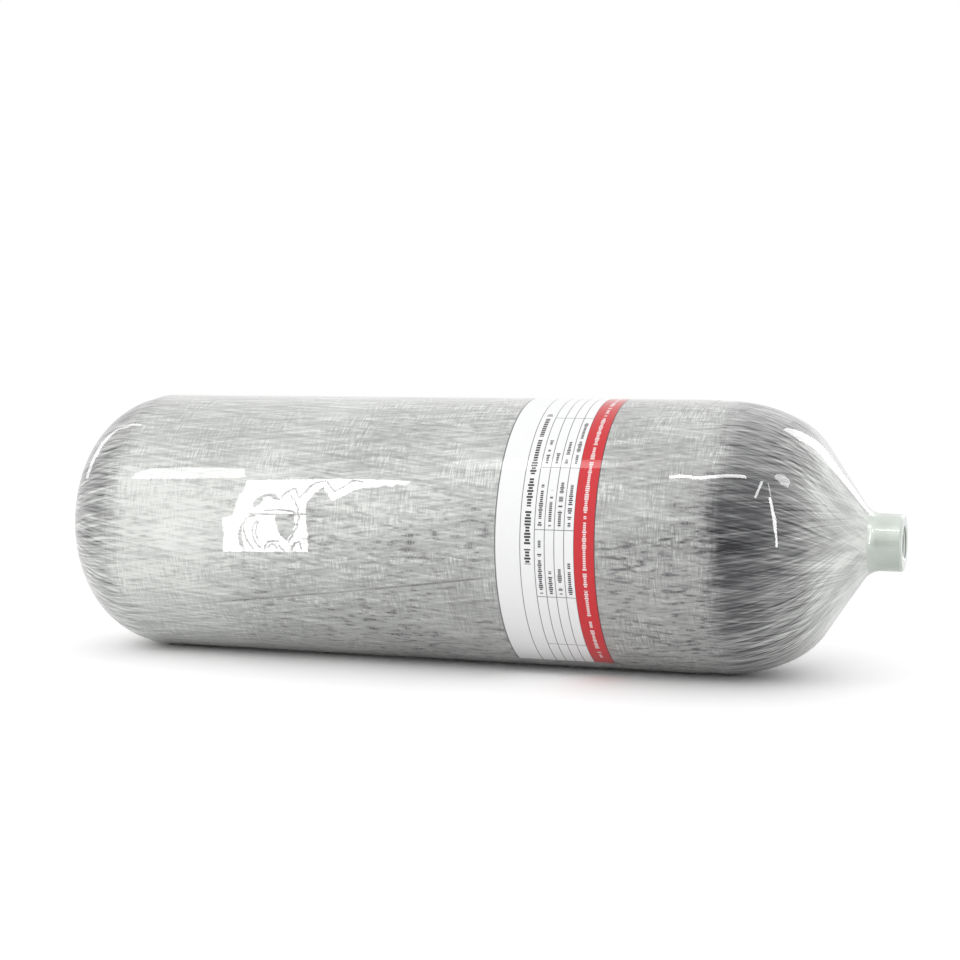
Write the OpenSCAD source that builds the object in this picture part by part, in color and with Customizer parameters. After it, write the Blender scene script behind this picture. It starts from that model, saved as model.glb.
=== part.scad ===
// Composite air tank: an aluminium liner wrapped in carbon fibre and glass fibre.
// It lies on its side with its axis along X and its neck towards +X.
// Lengths along the tank are measured from its base. Sections are drawn as [radius, length].

/* [Tank] */
// Length from the base to the end of the neck
tank_length = 558; // [500:1:640]
// Outside radius of the crown of the base
crown_r = 220; // [180:1:300]
// Outside radius of the bend between the base and the wall
knuckle_r = 55; // [50:1:62]
// Outside radius where the shoulder leaves the wall
shoulder_r = 95; // [85:1:105]
// Outside radius of the tighter upper shoulder
upper_shoulder_r = 50; // [44:0.5:56]
// Slope of the shoulder's flank, measured from the axis
flank_angle = 56; // [52:0.5:60]

/* [Liner] */
// Outside diameter of the liner's wall
liner_d = 161; // [150:0.5:172]
// Thickness of the liner's wall and base
liner_wall = 2.6; // [2:0.1:3.5]
// Thickness of the liner's shoulder beside the neck
shoulder_wall = 4.2; // [3.4:0.1:5]
// Radius of the liner's hollow bend from the flank into the neck
liner_root_r = 8; // [5:0.5:12]
// Radius where the inside of the flank turns into the bore
throat_r = 5; // [3:0.5:8]

/* [Neck] */
// Outside diameter of the neck
neck_d = 36; // [32:0.5:42]
// Length of the neck that is straight outside
neck_length = 13.5; // [10:0.5:24]
// Radius of the hollow bend from the flank into the neck
neck_root_r = 12.5; // [9:0.5:16]
// Length of the bare metal collar at the foot of the neck
collar_length = 7; // [5:0.5:8.5]
// Bevel on the outer edge of the neck's end
neck_bevel = 1.2; // [0.5:0.1:2]
// Diameter of the bore, which is the inner diameter of its thread
bore_d = 16.38; // [14:0.01:18.4]
// Widest diameter of the cone that seats the valve's seal ring
seal_seat_d = 22; // [20:0.5:25]
// Depth of the seal seat
seal_seat_depth = 2.8; // [2:0.1:4]
// Bevel that leads from the seat into the thread
lead_in = 1; // [0.5:0.1:1.5]

/* [Windings] */
// Thickness of the carbon wound round the wall
carbon_hoop_t = 2.6; // [1.5:0.1:4]
// Thickness of the carbon wound end to end over the wall
carbon_helical_t = 2.5; // [1.5:0.1:4]
// Thickness of the glass wound end to end
glass_helical_t = 0.8; // [0.5:0.1:1.5]
// Thickness of the glass wound round the wall
glass_hoop_t = 0.6; // [0.4:0.1:1.2]
// Length over which each end of the carbon hoop winding runs out
carbon_runout = 16; // [8:1:30]
// Length over which each end of the glass hoop winding runs out
glass_runout = 9; // [4:1:16]
// Thickness left at the tip of a run-out
tip_t = 0.15; // [0.1:0.05:0.3]
// Where the glass hoop winding starts, from the base
glass_start = 42; // [38:1:56]
// How far the glass hoop winding stops short of the shoulder
glass_stop = 6; // [0:1:30]
// Diameter of the round opening that the glass leaves at the centre of the base
polar_opening_d = 24; // [12:1:36]
// Radius on the lip of that opening
polar_lip_r = 0.5; // [0.2:0.1:0.5]

/* [Label] */
// Width of the label along the tank
label_w = 64; // [40:0.5:90]
// Length of the label round the tank
label_length = 280; // [120:1:360]
// Distance from the base to the label's nearer edge
label_edge = 321; // [80:1:350]
// Turn of the label's middle, up from the side that faces -Y
label_turn = 28.5; // [-40:0.5:60]
// Thickness of the label
label_t = 0.15; // [0.1:0.05:0.3]

/* [Hidden] */
$fn = 180;

liner_r = liner_d / 2;
neck_r = neck_d / 2;
bore_r = bore_d / 2;
polar_r = polar_opening_d / 2;

// How far the layers' outer faces stand off the liner
carbon_out = carbon_hoop_t + carbon_helical_t;
glass_out = carbon_out + glass_helical_t;
sleeve_out = glass_out + glass_hoop_t;
tank_r = liner_r + sleeve_out;

// The same bends on the liner's own outer face
liner_crown_r = crown_r - glass_out;
liner_knuckle_r = knuckle_r - glass_out;
liner_shoulder_r = shoulder_r - glass_out;
liner_upper_r = upper_shoulder_r - glass_out;

// The shoulder turns half its slope on each of its two bends
half_dir = [cos(flank_angle / 2), sin(flank_angle / 2)];
flank_dir = [cos(flank_angle), sin(flank_angle)];

// Base: centres of the crown and the knuckle, and the direction in which they meet
crown_c = [0, sqrt(pow(crown_r, 2) - pow(polar_r, 2))];
knuckle_reach = liner_crown_r - liner_knuckle_r;
knuckle_side = liner_r - liner_knuckle_r;
crown_dir = [knuckle_side, -sqrt(pow(knuckle_reach, 2) - pow(knuckle_side, 2))] / knuckle_reach;
knuckle_c = crown_c + knuckle_reach * crown_dir;

// Shoulder: its centres follow from the hollow bend at the foot of the neck
root_c = [neck_r + neck_root_r, tank_length - neck_length];
upper_side = liner_r - liner_shoulder_r + (liner_shoulder_r - liner_upper_r) * half_dir.x;
root_reach = upper_shoulder_r + neck_root_r - (root_c.x - upper_side) * flank_dir.x;
upper_c = [upper_side, root_c.y - root_reach / flank_dir.y];
shoulder_c = upper_c - (liner_shoulder_r - liner_upper_r) * half_dir;

// Ends of the straight wall, and the plane where every winding meets the collar
wall_start = knuckle_c.y;
wall_end = shoulder_c.y;
winding_end = root_c.y - collar_length;

// The cavity's upper shoulder is tighter than the liner's, so the metal thickens to the neck
thicken = (liner_wall * half_dir.x - shoulder_wall) / (1 - half_dir.x);
cavity_upper_r = liner_upper_r + thicken;

// Room that a cut takes past the face it opens
past = 1;

// Each bend stands this much proud of the wider one beside it, so that the two cross cleanly
proud = 0.002;

// Half section of a bottle whose face stands `out` from the liner's, open past the neck's end
module bottle(out, upper_r, neck, root) {
    upper = shoulder_c + (liner_shoulder_r + out - upper_r) * half_dir;
    bend_side = neck + root - upper.x;
    bend = upper + [bend_side, (upper_r + root - bend_side * flank_dir.x) / flank_dir.y];
    crown_end = crown_c + (liner_crown_r + out) * crown_dir;
    wall = liner_r + out;
    middle = shoulder_c + (liner_shoulder_r + out) * half_dir;
    top = tank_length + past;
    difference() {
        union() {
            polygon([crown_end, [wall, wall_start], [wall, wall_end], middle,
                     upper + upper_r * flank_dir, bend - root * flank_dir,
                     [neck, bend.y], [neck, top], [0, top], [0, crown_end.y]]);
            bend_to(crown_c, liner_crown_r + out, [0, crown_c.y - tank_length], crown_end);
            right_half(knuckle_c, liner_knuckle_r + out + proud);
            bend_to(shoulder_c, liner_shoulder_r + out + proud, [wall, wall_end - past], middle);
            right_half(upper, upper_r + 2 * proud);
        }
        translate(bend) circle(root + proud);
    }
}

// Pie slice of a circle between the directions of two points, on the right of the axis
module bend_to(centre, r, a, b) {
    reach = 2 * r;
    toward_a = (a - centre) / norm(a - centre);
    toward_b = (b - centre) / norm(b - centre);
    intersection() {
        right_half(centre, r);
        polygon([centre, centre + reach * toward_a, centre + reach * toward_b]);
    }
}

// The part of a circle on the right of the axis
module right_half(centre, r) {
    intersection() {
        translate(centre) circle(r);
        translate([0, centre.y - 2 * r]) square(4 * r);
    }
}

// Faces that the pieces share
module liner_face() {
    bottle(0, liner_upper_r, neck_r, liner_root_r);
}

module carbon_face() {
    bottle(carbon_out, upper_shoulder_r - glass_helical_t,
           neck_r - glass_helical_t, neck_root_r + glass_helical_t);
}

module glass_face() {
    bottle(glass_out, upper_shoulder_r, neck_r, neck_root_r);
}

module sleeve_face() {
    bottle(sleeve_out, upper_shoulder_r + glass_hoop_t, neck_r, neck_root_r);
}

// Everything farther along the tank than y
module beyond(y) {
    translate([-past, y]) square([tank_r + 2 * past, tank_length]);
}

// Section of the carbon hoop winding, reaching `deeper` into the liner when it is cut away
module carbon_hoop_section(deeper = 0) {
    inner = liner_r - deeper;
    outer = liner_r + carbon_hoop_t;
    polygon([[inner, wall_start], [liner_r + tip_t, wall_start], [outer, wall_start + carbon_runout],
             [outer, wall_end - carbon_runout], [liner_r + tip_t, wall_end], [inner, wall_end]]);
}

// Turns a half section into a solid and lays it along X, over the middle of its footprint
module lay_down(turn = 360, from = 0) {
    translate([-tank_length / 2, 0, tank_r]) rotate([0, 90, 0]) rotate([0, 0, from])
        rotate_extrude(angle = turn) children();
}

// Seamless aluminium bottle: its neck is bored and has a low collar at its foot
module liner() {
    color([0.70, 0.75, 0.70]) lay_down() difference() {
        union() {
            liner_face();
            intersection() {
                glass_face();
                beyond(winding_end);
            }
        }
        beyond(tank_length);
        bottle(-liner_wall, cavity_upper_r, bore_r, throat_r);
        seal_seat();
        neck_edge();
    }
}

// Cone at the mouth that seats the valve's ring, with a lead-in to the thread
module seal_seat() {
    seat_r = seal_seat_d / 2;
    floor_y = tank_length - seal_seat_depth;
    polygon([[0, tank_length + past], [seat_r, tank_length + past], [seat_r, tank_length],
             [bore_r + lead_in, floor_y], [bore_r, floor_y - lead_in], [0, floor_y - lead_in]]);
}

// Bevel round the outer edge of the neck's end
module neck_edge() {
    side = neck_bevel + past;
    polygon([[neck_r + past, tank_length - side], [neck_r + past, tank_length + past],
             [neck_r - side, tank_length + past]]);
}

// Carbon fibre wound round and round on the straight wall
module carbon_hoop_winding() {
    color([0.10, 0.10, 0.11]) lay_down() carbon_hoop_section();
}

// Carbon fibre wound end to end over the liner and the hoop winding
module carbon_helical_winding() {
    color([0.16, 0.17, 0.17]) lay_down() difference() {
        carbon_face();
        liner_face();
        carbon_hoop_section(past);
        beyond(winding_end);
    }
}

// Thin glass fibre layer over the carbon, open at the pole of the base
module glass_helical_winding() {
    color([0.45, 0.49, 0.46]) lay_down() difference() {
        glass_face();
        carbon_face();
        beyond(winding_end);
        polar_opening();
    }
}

// The round opening at the pole, with its rounded lip
module polar_opening() {
    translate([0, -past]) square([polar_r, 2 * glass_helical_t + past]);
    difference() {
        translate([0, -past]) square([polar_r + polar_lip_r, polar_lip_r + past]);
        translate([polar_r + polar_lip_r, polar_lip_r]) circle(polar_lip_r);
    }
}

// Glass fibre sleeve wound round the wall, running out thin at both ends
module glass_hoop_winding() {
    stop = wall_end - glass_stop;
    full = glass_start + glass_runout;
    start_tip = [knuckle_face(glass_out + tip_t, glass_start), glass_start];
    start_rise = [knuckle_face(sleeve_out, full), full] - start_tip;
    stop_tip = [liner_r + glass_out + tip_t, stop];
    stop_rise = [tank_r, stop - glass_runout] - stop_tip;
    near_r = liner_r / 2;
    color([0.66, 0.70, 0.66]) difference() {
        lay_down() intersection() {
            difference() {
                sleeve_face();
                glass_face();
            }
            polygon([[near_r, glass_start], start_tip, start_tip + 2 * start_rise,
                     stop_tip + 2 * stop_rise, stop_tip, [near_r, stop]]);
        }
        label_sheet(past);
    }
}

// Radius at a place on the knuckle, or on the wall beyond it, of the face that stands `out` from the liner
function knuckle_face(out, y) =
    knuckle_c.x + sqrt(pow(liner_knuckle_r + out, 2) - pow(max(0, wall_start - y), 2));

// The sheet that lies flush in the sleeve's face, reaching `farther` out where it is cut away
module label_sheet(farther = 0) {
    arc = label_length / tank_r * 180 / PI;
    lay_down(arc, -90 - label_turn - arc / 2)
        translate([tank_r - label_t, label_edge]) square([label_t + farther, label_w]);
}

// Printed sheet pressed into the wet sleeve and coated over
module data_label() {
    color([0.93, 0.94, 0.93]) label_sheet();
}

liner();
carbon_hoop_winding();
carbon_helical_winding();
glass_helical_winding();
glass_hoop_winding();
data_label();
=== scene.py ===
from math import atan2, cos, degrees, hypot, pi, radians, sin, sqrt

import bpy
import numpy as np
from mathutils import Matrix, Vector
from mathutils.kdtree import KDTree


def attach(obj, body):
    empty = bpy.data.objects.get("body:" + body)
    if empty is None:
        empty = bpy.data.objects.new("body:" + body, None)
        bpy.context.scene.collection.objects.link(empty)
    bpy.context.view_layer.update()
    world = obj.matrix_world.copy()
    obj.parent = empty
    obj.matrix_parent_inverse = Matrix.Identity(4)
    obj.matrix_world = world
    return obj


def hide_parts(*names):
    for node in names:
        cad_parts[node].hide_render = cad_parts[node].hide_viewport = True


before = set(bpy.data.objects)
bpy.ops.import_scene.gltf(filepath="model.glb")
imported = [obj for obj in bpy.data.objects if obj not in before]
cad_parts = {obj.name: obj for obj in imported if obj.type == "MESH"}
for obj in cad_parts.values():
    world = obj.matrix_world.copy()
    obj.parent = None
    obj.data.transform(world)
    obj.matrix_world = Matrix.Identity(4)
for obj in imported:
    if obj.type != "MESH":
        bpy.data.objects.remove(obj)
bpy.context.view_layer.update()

# Aluminium liner
# One seamless bottle, spun shut at both ends, with its neck bored, threaded and faced in a lathe.
# It is bare metal under the clear resin, and it shows only at the neck and inside the mouth.
MM = 0.001           # sizes are in mm unless they say otherwise, and meshes are in metres
BASE_X = -0.279      # where the tank's base stands along X, in metres
AXIS_Z = 0.087       # height of the tank's axis, in metres
TANK_LENGTH = 558.0
LINER_WALL = 2.6
LINER_UPPER_R = 44.1
LINER_ROOT_R = 8.0
CAVITY_UPPER_R = 27.83
CAVITY_ROOT_R = 5.0
NECK_R = 18.0
NECK_ROOT_R = 12.5
WINDING_END = 537.5  # the windings stop here, against the collar at the neck's foot

# The neck's end: each corner's radius and distance from the base, from the outside in
BEVEL_START = (NECK_R, 556.8)
BEVEL_END = (16.8, TANK_LENGTH)
FACE_END = (11.2, TANK_LENGTH)
SEAT_START = (11.0, 557.8)
SEAT_END = (9.19, 555.2)
BORE_R = 8.19
THREAD_TOP = 554.2
THREAD_R = 9.0
THREAD_PITCH = 1.5
LINER_STEPS = 128

# Centres of the bends that all the layers share, each a radius and a distance from the base
CROWN = (0.0, 219.6725)
KNUCKLE = (31.4, 57.692)
SHOULDER = (-8.6, 447.560)
ROOT = (30.5, 544.5)
CROWN_R = 214.1
KNUCKLE_R = 49.1
SHOULDER_R = 89.1
FLANK = radians(56)


def step_from(centre, reach, angle):
    """The point at a reach and an angle from a centre, the angle turning from outward to neckward"""
    return centre[0] + reach * cos(angle), centre[1] + reach * sin(angle)


def bottle_line(out, upper_r, neck_r, root_r):
    """The half section of a bottle that stands `out` from the liner: lines and arcs, from pole to neck"""
    crown_r, knuckle_r, shoulder_r = CROWN_R + out, KNUCKLE_R + out, SHOULDER_R + out
    crown_end = atan2(KNUCKLE[1] - CROWN[1], KNUCKLE[0] - CROWN[0])
    upper = step_from(SHOULDER, shoulder_r - upper_r, FLANK / 2)
    side = neck_r + root_r - upper[0]
    bend = upper[0] + side, upper[1] + (upper_r + root_r - side * cos(FLANK)) / sin(FLANK)
    arcs = [
        ("crown", CROWN, crown_r, -pi / 2, crown_end),
        ("knuckle", KNUCKLE, knuckle_r, crown_end, 0.0),
        ("shoulder", SHOULDER, shoulder_r, 0.0, FLANK / 2),
        ("upper", upper, upper_r, FLANK / 2, FLANK),
        ("root", bend, root_r, FLANK + pi, pi),
    ]
    line = []
    here = (0.0, CROWN[1] - crown_r)
    for name, centre, radius, start, end in arcs:
        first, last = step_from(centre, radius, start), step_from(centre, radius, end)
        if hypot(first[0] - here[0], first[1] - here[1]) > 0.01:
            line.append(("straight to " + name, here, first, None))
        line.append((name, first, last, centre))
        here = last
    return line


def swept(stretch):
    """The angle that an arc turns through between its two ends"""
    _, start, end, centre = stretch
    turn = atan2(end[1] - centre[1], end[0] - centre[0]) - atan2(start[1] - centre[1], start[0] - centre[0])
    return (turn + pi) % (2 * pi) - pi


def backwards(line):
    """The same line drawn from its far end"""
    return [(name, end, start, centre) for name, start, end, centre in reversed(line)]


def cut_line(line, name, new_start=None, new_end=None):
    """The line with one of its stretches started later or ended earlier, and all beyond that cut off"""
    at = [stretch[0] for stretch in line].index(name)
    _, start, end, centre = line[at]
    if new_start:
        return [(name, new_start, end, centre)] + line[at + 1:]
    return line[:at] + [(name, start, new_end, centre)]


def one_vertex(spot):
    """Starts a mesh in edit mode with one vertex at a spot"""
    bpy.ops.object.select_all(action="DESELECT")
    bpy.ops.mesh.primitive_plane_add(size=0.01, enter_editmode=True, location=(0, 0, 0))
    bpy.ops.mesh.merge(type="CENTER")
    bpy.ops.transform.translate(value=spot)


def draw_section(name, line, pitch, around=90.0):
    """Draws a half section at an angle round the axis: a vertex drawn on along lines, spun along arcs"""
    outward = Vector((0, -cos(radians(around)), sin(radians(around))))
    hinge = outward.cross(Vector((1, 0, 0)))

    def place(point):
        return Vector((BASE_X + point[1] * MM, 0, AXIS_Z)) + outward * point[0] * MM

    one_vertex(place(line[0][1]))
    for stretch in line:
        label, start, end, centre = stretch
        gap = pitch.get(label, pitch["other"])
        if centre:
            turn = swept(stretch)
            reach = hypot(start[0] - centre[0], start[1] - centre[1])
            steps = max(1, round(abs(turn) * reach / gap))
            bpy.ops.mesh.spin(steps=steps, angle=-turn, center=place(centre), axis=hinge)
        else:
            steps = max(1, round(hypot(end[0] - start[0], end[1] - start[1]) / gap))
            move = (place(end) - place(start)) / steps
            for _ in range(steps):
                bpy.ops.mesh.extrude_region_move(TRANSFORM_OT_translate={"value": move})
    piece = bpy.context.object
    piece.name = piece.data.name = name
    return piece


SMOOTH_UNDER = radians(35)    # an edge between faces that meet more sharply stays sharp
MERGE_UNDER = 0.01 * MM       # the drawing ends a few microns off the axis, so the poles need this much


def turn_up(turns):
    """Spins the drawn section round the tank's axis by each (degrees, steps) in turn"""
    bpy.ops.mesh.select_all(action="SELECT")
    for angle, steps in turns:
        bpy.ops.mesh.spin(steps=steps, angle=radians(angle), center=(0, 0, AXIS_Z), axis=(1, 0, 0))


def close_up():
    """Merges the seam and the poles of the turned section and points its faces outward"""
    bpy.ops.mesh.select_all(action="SELECT")
    bpy.ops.mesh.remove_doubles(threshold=MERGE_UNDER)
    bpy.ops.mesh.normals_make_consistent(inside=False)
    bpy.ops.object.mode_set(mode="OBJECT")
    bpy.ops.object.shade_smooth_by_angle(angle=SMOOTH_UNDER)


def section_of(piece):
    """Each vertex's radius and distance from the base in mm, its angle from the -Y side, and its place"""
    spots = np.empty(len(piece.data.vertices) * 3)
    piece.data.vertices.foreach_get("co", spots)
    spots = spots.reshape(-1, 3)
    side, up = spots[:, 1], spots[:, 2] - AXIS_Z
    return np.hypot(side, up) / MM, (spots[:, 0] - BASE_X) / MM, np.arctan2(up, -side), spots


def root_at(centre, root_r, along):
    """The point of a hollow root at a distance from the base"""
    return centre[0] - sqrt(root_r ** 2 - (centre[1] - along) ** 2), along


liner_line = bottle_line(0.0, LINER_UPPER_R, NECK_R, LINER_ROOT_R)
step_foot = root_at(liner_line[-1][3], LINER_ROOT_R, WINDING_END)
liner_line = cut_line(liner_line, "root", new_end=step_foot)
collar_foot = root_at(ROOT, NECK_ROOT_R, WINDING_END)
cavity_line = bottle_line(-LINER_WALL, CAVITY_UPPER_R, BORE_R, CAVITY_ROOT_R)
throat = cavity_line[-1][2]
liner_line += [
    ("step", step_foot, collar_foot, None),
    ("collar", collar_foot, (NECK_R, ROOT[1]), ROOT),
    ("neck", (NECK_R, ROOT[1]), BEVEL_START, None),
    ("bevel", BEVEL_START, BEVEL_END, None),
    ("face", BEVEL_END, FACE_END, None),
    ("face edge", FACE_END, SEAT_START, None),
    ("seat", SEAT_START, SEAT_END, None),
    ("lead in", SEAT_END, (BORE_R, THREAD_TOP), None),
    ("thread", (BORE_R, THREAD_TOP), throat, None),
]
liner_line += backwards(cavity_line)
# Each stretch of the line is cut into lengths of about so many mm
liner = draw_section("aluminium_liner", liner_line, {
    "crown": 9.0, "straight to shoulder": 60.0, "knuckle": 6.0, "shoulder": 7.0, "upper": 5.0,
    "straight to root": 8.0, "root": 0.8, "collar": 0.5, "neck": 1.6, "thread": THREAD_PITCH / 8,
    "other": 0.6,
})
turn_up([(360.0, LINER_STEPS)])
close_up()

# The thread: each point of the bore moves out by its place on a turn of the screw, whose crests are flat
FLANK_STEEPNESS = 1.25
FADE_IN = 1.5
FADE_OUT = 0.6
thread_start = throat[1] + 0.3
thread_stop = THREAD_TOP + 0.4
radius, along, around, spots = section_of(liner)
turn_of = (along / THREAD_PITCH - around / (2 * pi)) % 1.0
rise = np.clip(np.abs(2 * turn_of - 1) * FLANK_STEEPNESS, 0, 1)
fade = np.clip((along - thread_start) / FADE_IN, 0, 1) * np.clip((thread_stop - along) / FADE_OUT, 0, 1)
in_bore = (radius < BORE_R + 0.02) & (along > thread_start - 0.2) & (along < thread_stop - 0.1)
grown = np.where(in_bore, 1 + (THREAD_R - BORE_R) * rise * fade / np.maximum(radius, 1.0), 1.0)
spots[:, 1] *= grown
spots[:, 2] = AXIS_Z + (spots[:, 2] - AXIS_Z) * grown
liner.data.vertices.foreach_set("co", spots.ravel())
liner.data.update()
groove = liner.data.attributes.new("groove", "FLOAT", "POINT")
groove.data.foreach_set("value", np.where(in_bore, rise * fade, 0.0))


def add_node(tree, kind, inputs=None, **settings):
    """A new node: a socket among its inputs is linked, and any other value is set on it"""
    node = tree.nodes.new(kind)
    for name, value in settings.items():
        setattr(node, name, value)
    for key, value in (inputs or {}).items():
        if isinstance(value, bpy.types.NodeSocket):
            tree.links.new(value, node.inputs[key])
        else:
            node.inputs[key].default_value = value
    return node


def maths(tree, operation, *values, clamp=False):
    """A Math node's result"""
    node = add_node(tree, "ShaderNodeMath", dict(enumerate(values)), operation=operation, use_clamp=clamp)
    return node.outputs[0]


def times(tree, first, second):
    """The product of two values"""
    return maths(tree, "MULTIPLY", first, second)


def rise_between(tree, value, low, high, to_low=0.0, to_high=1.0):
    """A smooth rise from one level to another as the value goes from low to high"""
    return add_node(tree, "ShaderNodeMapRange", {
        "Value": value, "From Min": low, "From Max": high, "To Min": to_low, "To Max": to_high,
    }, interpolation_type="SMOOTHSTEP").outputs[0]


def mix_colours(tree, share, first, second):
    """Two colours mixed by a share"""
    return add_node(tree, "ShaderNodeMix", {0: share, 6: first, 7: second}, data_type="RGBA").outputs[2]


def stretched_noise(tree, vector, stretch, detail=2.0, roughness=0.5, distortion=0.0):
    """Noise that is fine one way and long another, with its scales per metre"""
    scaled = add_node(tree, "ShaderNodeVectorMath", {0: vector, 1: stretch}, operation="MULTIPLY")
    return add_node(tree, "ShaderNodeTexNoise", {
        "Vector": scaled.outputs[0], "Scale": 1.0, "Detail": detail, "Roughness": roughness,
        "Distortion": distortion,
    }).outputs["Fac"]


def from_axis(tree):
    """Where a point of the piece is, measured from the tank's axis, in metres"""
    place = add_node(tree, "ShaderNodeTexCoord").outputs["Object"]
    return add_node(tree, "ShaderNodeMapping", {"Vector": place, "Location": (0, 0, -AXIS_Z)}).outputs[0]


def add_relief(tree, shader, height, strength, depth):
    """Bumps on the surface, their depth in metres"""
    bump = add_node(tree, "ShaderNodeBump", {"Height": height, "Strength": strength, "Distance": depth})
    tree.links.new(bump.outputs[0], shader.inputs["Normal"])


def new_material(name):
    """A material with its Principled shader, ready for its nodes"""
    material = bpy.data.materials.new(name)
    material.use_nodes = True
    return material, material.node_tree, material.node_tree.nodes["Principled BSDF"]


def coat_over(shader):
    """The clear glossy resin that covers the whole tank"""
    shader.inputs["Coat Weight"].default_value = 1.0
    shader.inputs["Coat Roughness"].default_value = 0.012
    shader.inputs["Coat IOR"].default_value = 1.5


# The lathe leaves fine rings on the metal, and its grey-green varies softly
METAL_DULL = (0.50, 0.545, 0.50, 1)
METAL_BRIGHT = (0.58, 0.625, 0.575, 1)
metal, tree, shader = new_material("turned aluminium")
centred = from_axis(tree)
rings = stretched_noise(tree, centred, (2600, 30, 30), 3.0)
blush = stretched_noise(tree, centred, (60, 60, 60), 2.0)
turned_face = mix_colours(tree, rise_between(tree, blush, 0.3, 0.7), METAL_DULL, METAL_BRIGHT)

# Painted shade: the thread's grooves are darkened, and painted dark turns run on in line with them across
# the seat at the mouth
GROOVE_SHADE = (0.05, 0.045, 0.07, 1)
SHADED_TURNS_SHOW = 0.85
groove_shade = add_node(tree, "ShaderNodeAttribute", attribute_name="groove").outputs["Fac"]
x, side, up = add_node(tree, "ShaderNodeSeparateXYZ", {0: centred}).outputs
beside_axis = add_node(tree, "ShaderNodeCombineXYZ", {1: side, 2: up}).outputs[0]
off_axis = add_node(tree, "ShaderNodeVectorMath", {0: beside_axis}, operation="LENGTH").outputs["Value"]
turn = maths(tree, "DIVIDE", maths(tree, "ARCTAN2", up, side), 2 * pi)
turn = maths(tree, "ADD", maths(tree, "DIVIDE", x, THREAD_PITCH * MM), turn)
spiral = maths(tree, "ABSOLUTE", maths(tree, "SUBTRACT", maths(tree, "FRACT", turn), 0.5))
in_mouth = rise_between(tree, off_axis, (SEAT_START[0] - 0.1) * MM, SEAT_START[0] * MM, 1.0, 0.0)
spiral = times(tree, rise_between(tree, spiral, 0.12, 0.22, 1.0, 0.0), in_mouth)
groove_shade = maths(tree, "MAXIMUM", rise_between(tree, groove_shade, 0.25, 0.75), times(tree, spiral, SHADED_TURNS_SHOW))
turned_face = mix_colours(tree, groove_shade, turned_face, GROOVE_SHADE)
tree.links.new(turned_face, shader.inputs["Base Color"])
tree.links.new(rise_between(tree, rings, 0.3, 0.7, 0.40, 0.52), shader.inputs["Roughness"])
add_relief(tree, shader, rings, 0.2, 0.05 * MM)
shader.inputs["Metallic"].default_value = 0.4
coat_over(shader)
liner.data.materials.append(metal)
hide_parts("liner")
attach(liner, "root")

# Carbon windings
# Carbon fibre wound round the wall and then end to end over the whole liner, set in resin.
# The glass hides it except in the round opening at the pole of the base.
CARBON_BLACK = (0.012, 0.012, 0.014, 1)
CARBON_GREY = (0.085, 0.088, 0.092, 1)
carbon, tree, shader = new_material("carbon fibre in resin")
centred = from_axis(tree)
strands = stretched_noise(tree, centred, (60, 900, 240), 3.0, 0.6)
tows = stretched_noise(tree, centred, (40, 120, 60), 2.0)
shade = rise_between(tree, times(tree, strands, tows), 0.1, 0.45)
tree.links.new(mix_colours(tree, shade, CARBON_BLACK, CARBON_GREY), shader.inputs["Base Color"])
tree.links.new(rise_between(tree, strands, 0.3, 0.7, 0.28, 0.45), shader.inputs["Roughness"])
add_relief(tree, shader, strands, 0.4, 0.2 * MM)
coat_over(shader)
for name in ("carbon_hoop_winding", "carbon_helical_winding"):
    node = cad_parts[name]
    node.data.materials.clear()
    node.data.materials.append(carbon)

# Glass winding, end to end
# A thin layer of glass fibre strands wound over both domes on long slanting paths, in clear resin.
# The dark carbon shows between the strands at the shoulder, and they crowd together towards the neck.
GLASS_IN = 5.1     # its inner face stands this far off the liner
GLASS_OUT = 5.9    # and its outer face this far
GLASS_T = GLASS_OUT - GLASS_IN
GLASS_UPPER_R = 50.0
OPENING_R = 12.0
LIP_R = 0.5
WALL_FACE_R = 86.4    # this winding's face on the straight wall
ROUND_STEPS = 256
WAVES = (("long waves", 0.036, 0.06), ("short waves", 0.012, 0.008))    # name, length in m, depth in mm


def wavy_face(piece, outer):
    """Lets the listed outer vertices sink by the shallow waves that the resin dries with"""
    group = piece.vertex_groups.new(name="outer")
    group.add([int(i) for i in np.flatnonzero(outer)], 1.0, "REPLACE")
    bpy.context.view_layer.objects.active = piece
    for name, length, depth in WAVES:
        if name not in bpy.data.textures:
            bpy.data.textures.new(name, "CLOUDS").noise_scale = length
            bpy.data.textures[name].noise_depth = 0
        ripple = piece.modifiers.new(name, "DISPLACE")
        ripple.texture = bpy.data.textures[name]
        ripple.texture_coords = "LOCAL"
        ripple.vertex_group = group.name
        ripple.strength = depth * MM
        ripple.mid_level = 1.0
        bpy.ops.object.modifier_apply(modifier=ripple.name)
    piece.vertex_groups.clear()


def on_crown(out, radius):
    """The point at a radius on the dome that stands `out` from the liner's base"""
    return radius, CROWN[1] - sqrt((CROWN_R + out) ** 2 - radius ** 2)


glass_outer = bottle_line(GLASS_OUT, GLASS_UPPER_R, NECK_R, NECK_ROOT_R)
lip_top = on_crown(GLASS_OUT, OPENING_R + LIP_R)
glass_outer = cut_line(glass_outer, "crown", new_start=lip_top)
glass_outer = cut_line(glass_outer, "root", new_end=collar_foot)
glass_inner = bottle_line(GLASS_IN, GLASS_UPPER_R - GLASS_T, NECK_R - GLASS_T, NECK_ROOT_R + GLASS_T)
inner_start = on_crown(GLASS_IN, OPENING_R)
glass_inner = cut_line(glass_inner, "crown", new_start=inner_start)
inner_end = root_at(glass_inner[-1][3], NECK_ROOT_R + GLASS_T, WINDING_END)
glass_inner = cut_line(glass_inner, "root", new_end=inner_end)
lip_centre = (OPENING_R + LIP_R, lip_top[1] + LIP_R)
lip_start = (OPENING_R, lip_centre[1])
glass_line = [("lip", lip_start, lip_top, lip_centre)] + glass_outer
glass_line += [("end", collar_foot, inner_end, None)]
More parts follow.
